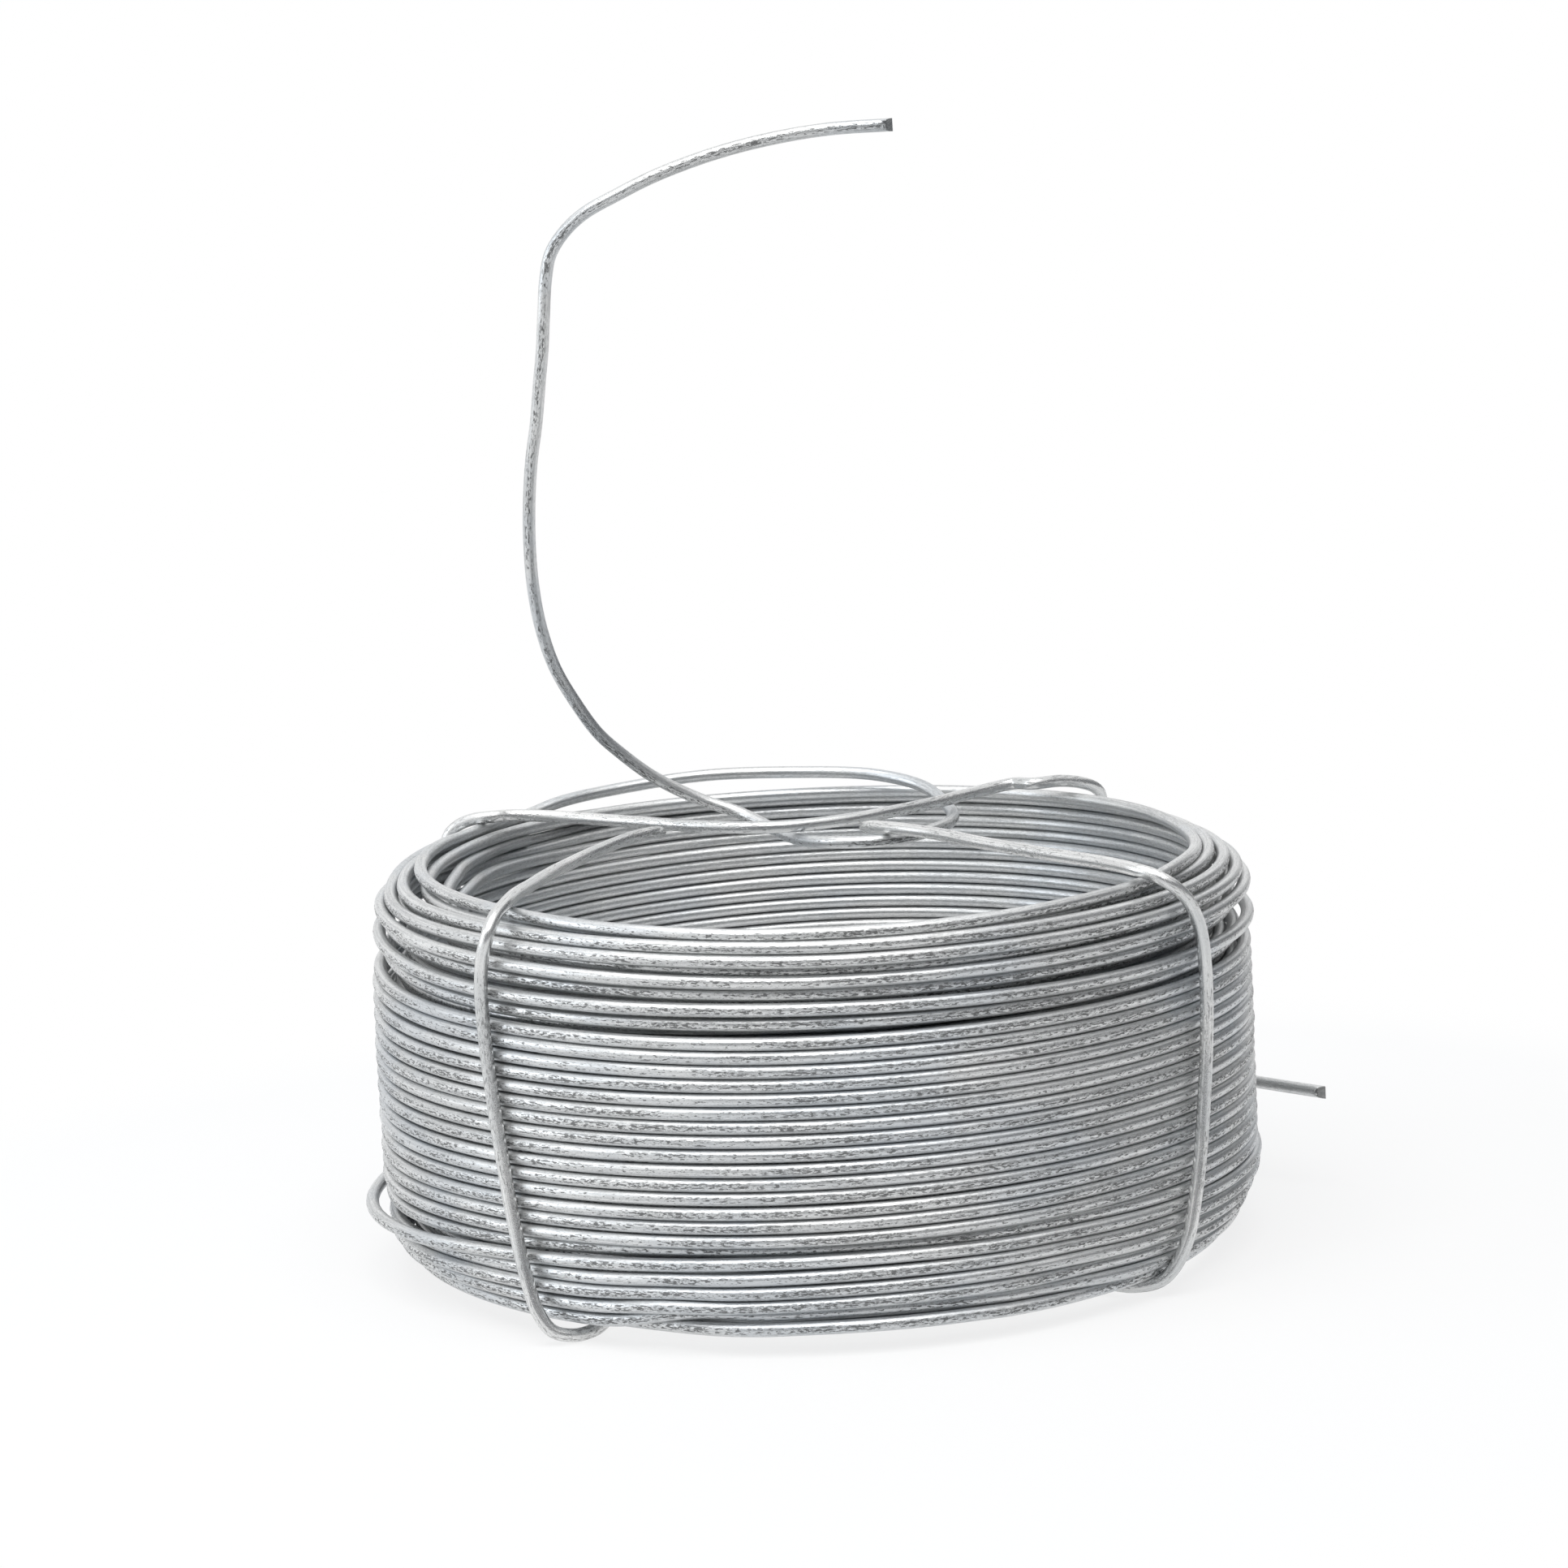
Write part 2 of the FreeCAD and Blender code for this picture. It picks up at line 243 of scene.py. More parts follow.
class Graph:
    """A material's or world's node tree, filled by small Python expressions."""

    def __init__(self, owner: bpy.types.Material | bpy.types.World) -> None:
        """Empty the owner's tree.

        Args:
            owner: the material or world that is given nodes.
        """
        owner.use_nodes = True
        self.tree = owner.node_tree
        self.tree.nodes.clear()

    def add(self, kind: str, settings: dict, inputs: dict) -> list[Socket]:
        """Add a node, set it up and fill its sockets.

        Args:
            kind: the node's type.
            settings: its properties, set first.
            inputs: values or links by socket name or number.

        Returns:
            The node's outputs.
        """
        node = self.tree.nodes.new(kind)
        for name, value in settings.items():
            setattr(node, name, value)
        for name, value in inputs.items():
            if isinstance(value, Socket):
                self.tree.links.new(value.link, node.inputs[name])
            else:
                node.inputs[name].default_value = value
        return [Socket(self, output) for output in node.outputs]

    def mix(self, factor: Socket | float, low: Socket | Triple, high: Socket | Triple) -> Socket:
        """Mix two colours, each a link or red, green and blue.

        Args:
            factor: the share of the second colour.
            low: the first colour.
            high: the second colour.

        Returns:
            The mixed colour.
        """
        node = self.tree.nodes.new("ShaderNodeMix")
        node.data_type = "RGBA"
        for name, value in (("Factor_Float", factor), ("A_Color", low), ("B_Color", high)):
            socket = next(found for found in node.inputs if found.identifier == name)
            if isinstance(value, Socket):
                self.tree.links.new(value.link, socket)
            elif isinstance(value, tuple):
                socket.default_value = (*value, 1.0)
            else:
                socket.default_value = value
        result = next(found for found in node.outputs if found.identifier == "Result_Color")
        return Socket(self, result)

    def noise(self, place: Socket, scale: Triple, detail: float, shift: float) -> Socket:
        """Noise whose grain may be longer one way than another.

        Args:
            place: the coordinates to read.
            scale: grains in a metre along each axis.
            detail: octaves of finer noise.
            shift: moves the pattern, so that two finishes differ.

        Returns:
            A value about 0.5, from 0 to 1.
        """
        values = {"Vector": place, "Scale": scale, "Location": (shift, shift, shift)}
        placed = self.add("ShaderNodeMapping", {}, values)[0]
        inputs = {"Vector": placed, "Scale": 1.0, "Detail": detail, "Roughness": 0.6}
        return self.add("ShaderNodeTexNoise", {}, inputs)[0]


@dataclass(frozen=True)
class ZincFinish:
    """Hot-dip zinc on drawn wire: pale satin, thin die streaks and clusters of dark flecks.

    The patterns' scales are grains in a metre, along the wire and across it. The flecks gather in a
    band on the section, which sets in between two places on it, in millimetres from its centre, where
    less is further out. The flecks are the zinc's own marks; their band is partly painted reflection,
    the speckled edge where a bright and a dark reflection meet on the wire.
    """

    name: str
    pale: Triple
    grey: Triple
    fleck: Triple
    cool: Triple
    metal: float
    roughness: float
    fleck_start: float
    fleck_depth: float
    even: float
    relief: float
    shift: float
    dashes: Triple = (1050.0, 4300.0, 4300.0)
    crumbs: Triple = (2100.0, 4600.0, 4600.0)
    patches: Triple = (75.0, 500.0, 500.0)
    streaks: Triple = (30.0, 3000.0, 3000.0)
    scratches: Triple = (210.0, 6200.0, 6200.0)
    grains: Triple = (3200.0, 6500.0, 6500.0)
    clouds: Triple = (34.0, 34.0, 60.0)
    patch_lift: float = 0.11
    crumb_share: float = 0.7
    cloud_share: float = 0.55
    cut_share: float = 0.55
    # Where the band of flecks sets in on the section; the band is partly painted reflection
    fleck_and_reflection_from: float = -0.78
    fleck_and_reflection_full: float = -0.97

    def flecks(self, graph: Graph, unrolled: Socket) -> Socket:
        """Dark marks under a millimetre long, thick in some stretches and thin in others.

        Args:
            graph: the material's tree.
            unrolled: the wire's own coordinates.

        Returns:
            1 in a mark, 0 beside it.
        """
        dash = graph.noise(unrolled, self.dashes, 2.0, self.shift + 8)
        crumb = graph.noise(unrolled, self.crumbs, 2.0, self.shift + 21)
        patch = graph.noise(unrolled, self.patches, 2.0, self.shift + 11)
        lift = self.patch_lift * patch.ramp(0.34, 0.62)
        marks = (dash + lift).ramp(self.fleck_start, self.fleck_start + 0.05)
        small = (crumb + lift).ramp(self.fleck_start + 0.05, self.fleck_start + 0.12)
        return marks.highest(self.crumb_share * small)

    def outward(self, graph: Graph, unrolled: Socket) -> Socket:
        """1 on the side of the wire that faces away from the coil's axis, 0 on its other sides."""
        axes = graph.add("ShaderNodeSeparateXYZ", {}, {"Vector": unrolled})
        return axes[1].ramp(self.fleck_and_reflection_from * MM, self.fleck_and_reflection_full * MM)

    def build(self) -> bpy.types.Material:
        """Make the material.

        Returns:
            The material, which reads the wire's own unrolled coordinates.
        """
        material = bpy.data.materials.new(self.name)
        graph = Graph(material)
        unrolled = graph.add("ShaderNodeAttribute", {"attribute_name": "unrolled"}, {})[1]
        cut = graph.add("ShaderNodeAttribute", {"attribute_name": "cut"}, {})[2]
        place = graph.add("ShaderNodeTexCoord", {}, {})[3]
        streak = graph.noise(unrolled, self.streaks, 3.0, self.shift)
        scratch = graph.noise(unrolled, self.scratches, 2.0, self.shift + 3)
        grain = graph.noise(unrolled, self.grains, 3.0, self.shift + 5)
        cloud = graph.noise(place, self.clouds, 3.0, self.shift + 14)
        # Partly painted reflection: the zinc's own flecks, gathered on one band where a bright and a dark
        # reflection meet
        fleck_and_reflection_band = self.even + (1 - self.even) * self.outward(graph, unrolled)
        marks = self.flecks(graph, unrolled) * fleck_and_reflection_band
        lines = 0.42 * streak.ramp(0.36, 0.62) + 0.28 * scratch.ramp(0.36, 0.64)
        base = graph.mix(lines + 0.3 * grain.ramp(0.3, 0.7), self.grey, self.pale)
        base = graph.mix(cloud.ramp(0.42, 0.66) * self.cloud_share, base, self.cool)
        base = graph.mix(marks * self.fleck_depth, base, self.fleck)
        base = graph.mix(cut.ramp(0.45, 0.9) * self.cut_share, base, self.fleck)
        height = 0.5 * streak + 0.3 * scratch + 0.8 * grain - 0.9 * marks
        values = {"Strength": 1.0, "Distance": self.relief * MM, "Height": height}
        inputs = {
            "Base Color": base,
            "Metallic": self.metal - 0.4 * marks,
            "Roughness": self.roughness + 0.10 * streak - 0.05 * cloud + 0.20 * marks,
            "Normal": graph.add("ShaderNodeBump", {}, values)[0],
        }
        shader = graph.add("ShaderNodeBsdfPrincipled", {}, inputs)[0]
        graph.add("ShaderNodeOutputMaterial", {}, {"Surface": shader})
        return material


COIL_ZINC = ZincFinish(
    name="coil_zinc",
    pale=(0.83, 0.835, 0.83),
    grey=(0.44, 0.45, 0.455),
    fleck=(0.06, 0.06, 0.058),
    cool=(0.55, 0.585, 0.62),
    metal=0.85,
    roughness=0.32,
    fleck_start=0.60,
    fleck_depth=0.80,
    even=0.22,
    relief=0.035,
    shift=0.0,
)
TIE_ZINC = ZincFinish(
    name="tie_zinc",
    pale=(0.90, 0.90, 0.89),
    grey=(0.56, 0.565, 0.565),
    fleck=(0.07, 0.068, 0.065),
    cool=(0.52, 0.54, 0.55),
    metal=0.8,
    roughness=0.24,
    fleck_start=0.655,
    fleck_depth=0.7,
    even=0.7,
    relief=0.03,
    shift=40.0,
)


class WireSweep:
    """Sweeps a round wire along a path with one Geometry Nodes tree.

    The wire gets an attribute named unrolled: its length so far, then the place on its section.
    """

    def __init__(self, normal: CurveNormal) -> None:
        """Build the tree.

        Args:
            normal: how the section turns along the path.
        """
        self.tree = bpy.data.node_groups.new(f"wire_{normal.value.lower()}", "GeometryNodeTree")
        self.sockets = {}
        for name, kind in (
            ("Path", "NodeSocketGeometry"),
            ("Wire radius", "NodeSocketFloat"),
            ("Sides", "NodeSocketInt"),
            ("Start length", "NodeSocketFloat"),
            ("Finish", "NodeSocketMaterial"),
        ):
            socket = self.tree.interface.new_socket(name=name, in_out="INPUT", socket_type=kind)
            self.sockets[name] = socket.identifier
        self.tree.interface.new_socket(name="Wire", in_out="OUTPUT", socket_type="NodeSocketGeometry")
        self._fill(normal)

    def _node(self, kind: str, feeds: dict, **settings: object) -> bpy.types.Node:
        """Add a node.

        Args:
            kind: the node's type.
            feeds: output sockets, by the name or number of the input that each one feeds.
            settings: the node's properties, set first.

        Returns:
            The node.
        """
        node = self.tree.nodes.new(kind)
        for name, value in settings.items():
            setattr(node, name, value)
        for name, output in feeds.items():
            self.tree.links.new(output, node.inputs[name])
        return node

    def _capture(self, geometry: bpy.types.NodeSocket, kind: str, name: str,
                 value: bpy.types.NodeSocket) -> bpy.types.Node:
        """Keep a value on a geometry's points.

        Args:
            geometry: the geometry.
            kind: the value's type.
            name: what the value is called.
            value: the value.

        Returns:
            The node, with the geometry and the value as outputs.
        """
        node = self._node("GeometryNodeCaptureAttribute", {"Geometry": geometry})
        node.capture_items.new(kind, name)
        self.tree.links.new(value, node.inputs[name])
        return node

    def _fill(self, normal: CurveNormal) -> None:
        """Add the tree's nodes and links.

        Args:
            normal: how the section turns along the path.
        """
        given = self._node("NodeGroupInput", {}).outputs
        line = self._node("GeometryNodeMeshToCurve", {"Mesh": given["Path"]}).outputs
        settings = {"mode": normal.value}
        turned = self._node("GeometryNodeSetCurveNormal", {"Curve": line["Curve"]}, **settings).outputs
        travel = self._node("GeometryNodeSplineParameter", {}).outputs
        along = self._capture(turned["Curve"], "FLOAT", "length", travel["Length"]).outputs
        section = {"Resolution": given["Sides"], "Radius": given["Wire radius"]}
        circle = self._node("GeometryNodeCurvePrimitiveCircle", section).outputs
        spot = self._node("GeometryNodeInputPosition", {}).outputs
        across = self._capture(circle["Curve"], "VECTOR", "section", spot["Position"]).outputs
        rails = {"Curve": along["Geometry"], "Profile Curve": across["Geometry"]}
        sweep = self._node("GeometryNodeCurveToMesh", rails)
        sweep.inputs["Fill Caps"].default_value = True
        split = self._node("ShaderNodeSeparateXYZ", {"Vector": across["section"]}).outputs
        lengths = {0: along["length"], 1: given["Start length"]}
        total = self._node("ShaderNodeMath", lengths, operation="ADD").outputs
        axes = {"X": total[0], "Y": split["X"], "Z": split["Y"]}
        joined = self._node("ShaderNodeCombineXYZ", axes).outputs
        stored = {"Geometry": sweep.outputs["Mesh"], "Value": joined["Vector"]}
        settings = {"data_type": "FLOAT_VECTOR", "domain": "POINT"}
        store = self._node("GeometryNodeStoreNamedAttribute", stored, **settings)
        store.inputs["Name"].default_value = "unrolled"
        wire = store.outputs["Geometry"]
        for kind in ("GeometryNodeSetShadeSmooth", "GeometryNodeRealizeInstances"):
            wire = self._node(kind, {"Geometry": wire}).outputs["Geometry"]
        dressed = {"Geometry": wire, "Material": given["Finish"]}
        wire = self._node("GeometryNodeSetMaterial", dressed).outputs["Geometry"]
        self._node("NodeGroupOutput", {"Wire": wire})

    def make(self, name: str, path: np.ndarray, diameter: float, sides: int,
             start: float, finish: bpy.types.Material) -> bpy.types.Object:
        """Sweep one wire.

        Args:
            name: the piece's name.
            path: its centre line, in millimetres.
            diameter: the wire's diameter, in millimetres.
            sides: faces round the section.
            start: length of wire before this piece, in millimetres.
            finish: its material.

        Returns:
            The wire as a plain mesh object at the origin.
        """
        line = bpy.data.meshes.new(f"{name}_line")
        steps = [(index, index + 1) for index in range(len(path) - 1)]
        line.from_pydata((path * MM).tolist(), steps, [])
        holder = bpy.data.objects.new(f"{name}_holder", line)
        bpy.context.scene.collection.objects.link(holder)
        modifier = holder.modifiers.new("sweep", "NODES")
        modifier.node_group = self.tree
        modifier[self.sockets["Wire radius"]] = diameter / 2 * MM
        modifier[self.sockets["Sides"]] = sides
        modifier[self.sockets["Start length"]] = start * MM
        modifier[self.sockets["Finish"]] = finish
        graph = bpy.context.evaluated_depsgraph_get()
        mesh = bpy.data.meshes.new_from_object(holder.evaluated_get(graph))
        mesh.name = name
        bpy.data.objects.remove(holder)
        bpy.data.meshes.remove(line)
        piece = bpy.data.objects.new(name, mesh)
        bpy.context.scene.collection.objects.link(piece)
        return piece


def cubic(places: np.ndarray, values: np.ndarray, wanted: np.ndarray) -> np.ndarray:
    """Cubic Hermite interpolation with finite-difference slopes.

    Args:
        places: where the values are given, rising.
        values: the values there.
        wanted: where they are wanted.

    Returns:
        The interpolated values.
    """
    slopes = np.gradient(values, places)
    index = np.clip(np.searchsorted(places, wanted, side="right") - 1, 0, len(places) - 2)
    width = places[index + 1] - places[index]
    t = (wanted - places[index]) / width
    rise = values[index] * (1 + 2 * t) * (1 - t) ** 2 + values[index + 1] * t * t * (3 - 2 * t)
    return rise + width * (slopes[index] * t * (1 - t) ** 2 - slopes[index + 1] * t * t * (1 - t))


def chisel(piece: bpy.types.Object, tip: np.ndarray, along: np.ndarray, side: Triple | np.ndarray,
           radius: float, slope: float) -> None:
    """Turn a wire's flat end into the two-faced edge that a side cutter leaves.

    Args:
        piece: the wire.
        tip: the end of its centre line, in millimetres.
        along: direction out of the end.
        side: direction of the cut's edge, across the wire.
        radius: the wire's radius, in millimetres.
        slope: angle between each face and the wire, in degrees.
    """
    along = Vector(along).normalized()
    cheek = Vector(side).cross(along).normalized()
    centre = Vector(tip) * MM
    near = 1.05 * radius * MM
    shape = bmesh.new()
    shape.from_mesh(piece.data)
    cut = shape.verts.layers.float.get("cut") or shape.verts.layers.float.new("cut")
    ring = [v for v in shape.verts if (v.co - centre).length < near]
    cap = next(f for f in shape.faces if len(f.verts) == len(ring) and all(v in ring for v in f.verts))
    reach = {v: (v.co - centre).dot(cheek) for v in ring}
    edge = sorted(ring, key=lambda v: abs(reach[v]))[:2]
    for vertex in ring:
        vertex.co -= along * abs(reach[vertex]) / math.tan(math.radians(slope))
        vertex[cut] = 1.0
    bmesh.utils.face_split(cap, edge[0], edge[1])
    # The wire's own faces have four corners, the cut's two faces have more
    for face in shape.faces:
        if len(face.verts) > 4:
            face.smooth = False
    shape.to_mesh(piece.data)
    shape.free()


def keep(piece: bpy.types.Object, slot: Slot, *nodes: str) -> None:
    """Put a piece on the frame.

    Args:
        piece: the finished piece.
        slot: the record's slot for the piece; not used.
        nodes: the CAD nodes that it stands for.
    """
    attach(piece, BODY)
    if nodes:
        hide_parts(*nodes)
    LOG.info("%s: %d faces", piece.name, len(piece.data.polygons))


@dataclass
class Layer:
    """Turns of one layer, from the bottom up.

    A turn is a list of stations, each an azimuth, a radius and a height, and it starts at the seam
    and goes on by falling azimuth.
    """

    name: str
    turns: list[list[Triple]]
    mobility: float
    seed: int
    sides: int
    stride: int = 1
    upright_share: float = 0.4
    places: np.ndarray = field(default_factory=lambda: np.zeros((0, 2)))

    def lay(self, seam: float, steps: int, sway: float) -> None:
        """Draw a smooth, slightly uneven line through the stations.

        Args:
            seam: azimuth where each turn starts, in degrees.
            steps: points in one turn.
            sway: size of the unevenness, in millimetres.
        """
        knots = np.array([
            (number + (seam - azimuth) / 360, radius, height)
            for number, turn in enumerate(self.turns) for azimuth, radius, height in turn
        ])
        turns = np.arange(len(self.turns) * steps + 1) / steps
        inside = np.clip(turns, knots[0, 0], knots[-1, 0])
        places = np.stack([cubic(knots[:, 0], knots[:, column], inside) for column in (1, 2)], axis=1)
        sideways = Wave(self.seed, terms=9, slowest=0.05, fastest=2.3)
        upright = Wave(self.seed + 1, terms=9, slowest=0.04, fastest=1.7)
        places[:, 0] += sway * sideways.at(turns)
        places[:, 1] += self.upright_share * sway * upright.at(turns)
        self.places = places

    def path(self, seam: float, steps: int) -> np.ndarray:
        """The layer's centre line in space.

        Args:
            seam: azimuth where each turn starts, in degrees.
            steps: points in one turn.

        Returns:
            The line's points, in millimetres, one row each.
        """
        turns = np.arange(len(self.places)) / steps
        azimuth = np.radians(seam - 360 * turns)
        radius, height = self.places.T
        line = np.stack([radius * np.sin(azimuth), -radius * np.cos(azimuth), height], axis=1)
        return line[::self.stride]


@dataclass
class Packing:
    """Eases turns apart where their wires would run into each other, in millimetres."""

    layers: list[Layer]
    steps: int
    gap: float
    floor: float
    rounds: int = 60
    reach: float = 5.0
    blur: int = 4
    nothing: float = 1e-6

    def ease(self) -> None:
        """Move the turns of all the layers until they only touch."""
        counts = [len(layer.turns) for layer in self.layers]
        owner = np.repeat(np.arange(len(counts)), counts)
        mobility = np.array([layer.mobility for layer in self.layers])[owner]
        grid = self._gather()
        first, second = np.triu_indices(len(owner), 1)
        apart = np.linalg.norm(grid[first] - grid[second], axis=2).min(axis=1)
        near = apart < self.reach
        first, second = first[near], second[near]
        share = (mobility[first] / (mobility[first] + mobility[second]))[:, None, None]
        window = np.hanning(2 * self.blur + 3)[1:-1]
        for _ in range(self.rounds):
            across = grid[first] - grid[second]
            distance = np.maximum(np.linalg.norm(across, axis=2, keepdims=True), self.nothing)
            push = np.clip(self.gap - distance, 0, None) * across / distance
            moves = np.zeros_like(grid)
            np.add.at(moves, first, push * share)
            np.add.at(moves, second, -push * (1 - share))
            self._shift(moves, counts, window / window.sum())
            grid = self._gather()

    def _gather(self) -> np.ndarray:
        """All turns side by side: turn, step, then radius and height."""
        rows = [layer.places[:-1].reshape(-1, self.steps, 2) for layer in self.layers]
        return np.concatenate(rows)

    def _shift(self, moves: np.ndarray, counts: list[int], window: np.ndarray) -> None:
        """Move each layer by its smoothed moves, never below the floor.

        Args:
            moves: what each turn and step should move in radius and height.
            counts: turns in each layer.
            window: weights that smooth the moves along the wire.
        """
        start = 0
        for layer, count in zip(self.layers, counts):
            own = moves[start:start + count].reshape(-1, 2)
            own = np.vstack([own, own[-1:]])
            padded = np.pad(own, ((self.blur, self.blur), (0, 0)), mode="edge")
            smooth = [np.convolve(padded[:, column], window, "valid") for column in (0, 1)]
            layer.places = layer.places + np.stack(smooth, axis=1)
            layer.places[:, 1] = np.maximum(layer.places[:, 1], self.floor)
            start += count


@dataclass
class Winding:
    """The wound wire: foot turns, level rows, a loose crown and the layers behind them."""

    sizes: CoilSizes
    finish: bpy.types.Material
    seam: float = 227.8
    steps: int = 168
    sway: float = 0.08
    pitch: float = 2.006
    first_row: float = 17.4
    rows: int = 14
    front_sag: float = 0.45
    left_sag: float = 1.9
    left_rise: float = 2.2
    right_draw: float = 0.85
    left_swell: float = 0.5
    swell_fade: float = 0.6
    sagging_rows: int = 7
    rise_power: int = 4
    back_radius: float = 67.1
    layer_step: float = 1.75
    floor_lift: float = 0.05
    base_start: float = 60.3
    base_step: float = 1.02
    touch: float = 1.004
    pattern_step: float = 20000.0
    foot: list[list[Triple]] = field(default_factory=lambda: [
        [(180, 65.0, 3.95), (90, 61.4, 3.95), (62, 63.5, 3.95), (45, 65.3, 3.95), (5, 67.4, 4.1),
         (-18, 66.4, 4.0), (-38, 62.8, 3.95), (-90, 62.0, 3.95)],
        [(180, 66.3, 5.6), (90, 63.3, 5.2), (62, 65.0, 5.5), (45, 66.3, 5.7), (0, 65.8, 5.75),
         (-27, 66.2, 4.3), (-50, 64.4, 3.95), (-90, 64.1, 3.95)],
        [(180, 66.9, 7.5), (90, 64.7, 7.1), (45, 66.5, 7.5), (0, 67.2, 7.4), (-27, 67.0, 6.4),
         (-50, 66.0, 6.3), (-90, 65.8, 5.4)],
        [(180, 67.0, 9.5), (90, 65.7, 9.1), (45, 66.9, 9.4), (0, 67.3, 9.4), (-27, 67.3, 8.7),
         (-50, 67.2, 8.4), (-90, 67.0, 7.3)],
        [(180, 67.0, 11.5), (90, 66.7, 11.1), (45, 67.1, 11.4), (0, 67.3, 11.6), (-27, 67.2, 10.7),
         (-50, 66.4, 10.3), (-90, 67.3, 9.2)],
        [(180, 67.0, 13.6), (90, 67.1, 13.1), (45, 67.2, 13.4), (0, 67.3, 13.75), (-27, 67.3, 13.0),
         (-48, 67.4, 12.2), (-64, 69.4, 11.4), (-84, 70.7, 11.0), (-100, 69.9, 11.1), (-118, 68.0, 11.7)],
        [(180, 67.0, 15.6), (90, 66.5, 15.3), (45, 67.0, 15.4), (22, 66.3, 15.2), (0, 65.6, 15.1),
         (-27, 65.6, 14.9), (-50, 66.5, 14.1), (-90, 67.4, 12.9), (-118, 67.3, 13.7)],
    ])
    crown: list[list[Triple]] = field(default_factory=lambda: [
        [(180, 67.0, 45.4), (90, 66.5, 45.8), (45, 67.1, 45.1), (0, 67.2, 45.3), (-50, 67.2, 46.5),
         (-90, 67.2, 47.9)],
        [(180, 66.2, 48.1), (90, 64.8, 48.2), (45, 65.9, 47.6), (0, 66.3, 48.0), (-50, 65.8, 49.0),
         (-90, 65.5, 50.8)],
        [(180, 66.8, 50.4), (90, 67.1, 50.0), (45, 67.1, 49.5), (0, 67.2, 50.2), (-50, 67.2, 51.4),
         (-90, 66.9, 53.6)],
        [(180, 65.4, 52.6), (90, 64.0, 52.6), (45, 65.6, 52.1), (0, 66.1, 52.2), (-50, 65.3, 53.6),
         (-90, 65.4, 55.5)],
        [(180, 66.6, 55.1), (90, 66.7, 55.1), (45, 67.0, 54.0), (0, 67.1, 54.0), (-50, 66.8, 55.8),
         (-90, 66.4, 57.5)],
        [(180, 64.4, 56.2), (90, 64.0, 55.9), (45, 64.9, 55.4), (0, 65.5, 55.4), (-50, 63.5, 57.2),
         (-90, 63.2, 57.9)],
        [(180, 66.0, 57.3), (90, 65.6, 57.2), (45, 66.5, 56.7), (0, 67.0, 57.1), (-50, 65.5, 58.3),
         (-90, 64.9, 59.0), (-103, 65.4, 59.9), (-118, 66.1, 60.5)],
        [(180, 64.5, 58.8), (90, 63.5, 58.9), (45, 65.5, 58.7), (0, 66.3, 58.9), (-50, 63.9, 59.9),
         (-90, 62.9, 60.2), (-103, 63.3, 60.5), (-120, 64.3, 60.1)],
        [(180, 62.5, 59.5), (90, 61.2, 59.7), (45, 61.5, 59.0), (0, 62.2, 58.8), (-50, 61.3, 59.6),
         (-92, 59.2, 60.0), (-114, 60.3, 60.3), (-129, 61.6, 60.6)],
        [(210, 61.8, 60.9), (180, 61.0, 61.0), (120, 59.9, 60.9), (90, 59.5, 60.4), (68, 60.9, 60.8),
         (45, 63.2, 60.8), (0, 65.3, 60.4), (-26, 63.2, 61.0), (-50, 60.5, 61.6), (-90, 60.2, 62.0),
         (-109, 61.8, 62.0), (-121, 63.2, 61.6), (-132.2, 65.2, 61.7)],
    ])
    fan: list[list[Triple]] = field(default_factory=lambda: [
        [(180, 62.4, 54.0), (90, 61.2, 53.6), (0, 62.0, 52.7), (-50, 60.2, 53.5), (-90, 55.8, 55.4),
         (-100, 55.2, 55.9), (-121, 58.4, 55.9), (-132.2, 60.4, 55.5)],
        [(216, 61.9, 55.4), (180, 62.2, 55.9), (90, 61.2, 55.6), (0, 62.0, 54.7), (-50, 60.8, 55.5),
         (-95, 57.8, 56.2), (-106, 58.9, 56.3), (-115, 60.6, 56.4), (-124, 62.2, 56.5)],
        [(216, 62.6, 57.0), (180, 62.2, 57.8), (90, 61.2, 57.6), (0, 62.0, 56.7), (-50, 61.2, 57.3),
         (-95, 56.5, 58.1), (-101, 56.9, 58.3), (-110, 58.6, 58.4), (-118, 60.1, 58.5),
         (-126, 61.8, 58.6), (-132.2, 62.6, 58.6)],
    ])

    @property
    def foot_height(self) -> float:
        """Centre line of the lowest turn."""
        return self.sizes.bottom + self.sizes.wire / 2 + self.floor_lift

    @property
    def outer_radius(self) -> float:
        """Centre line of the outer rows."""
        return self.sizes.outside - self.sizes.wire / 2

    def base_turn(self) -> list[Triple]:
        """The first turn of all, on the floor side and just inside the first foot turn.

        Returns:
            Its stations.
        """
        inside = self.sizes.wire * self.base_step
        turn = [(azimuth, radius - inside, self.foot_height) for azimuth, radius, _ in self.foot[0]]
        return [(self.seam, self.base_start, self.foot_height), *turn]

    def row(self, number: int) -> list[Triple]:
        """One level row of the outside.

        Args:
            number: the row, counted up from the foot turns.

        Returns:
            Its stations.
        """
        height = self.first_row + number * self.pitch
        sag = max(0.0, 1 - number / self.sagging_rows)
        rise = (number / (self.rows - 1)) ** self.rise_power
        left = self.left_rise * rise - self.left_sag * sag
        swell = self.left_swell * (1 - self.swell_fade * rise)
        return [
            (180, self.back_radius, height),
            (90, self.outer_radius - self.right_draw, height),
            (45, self.outer_radius - self.right_draw / 4, height),
            (0, self.outer_radius, height - self.front_sag * sag),
            (-50, self.outer_radius, height + left / 2),
            (-90, self.outer_radius + swell, height + left),
        ]

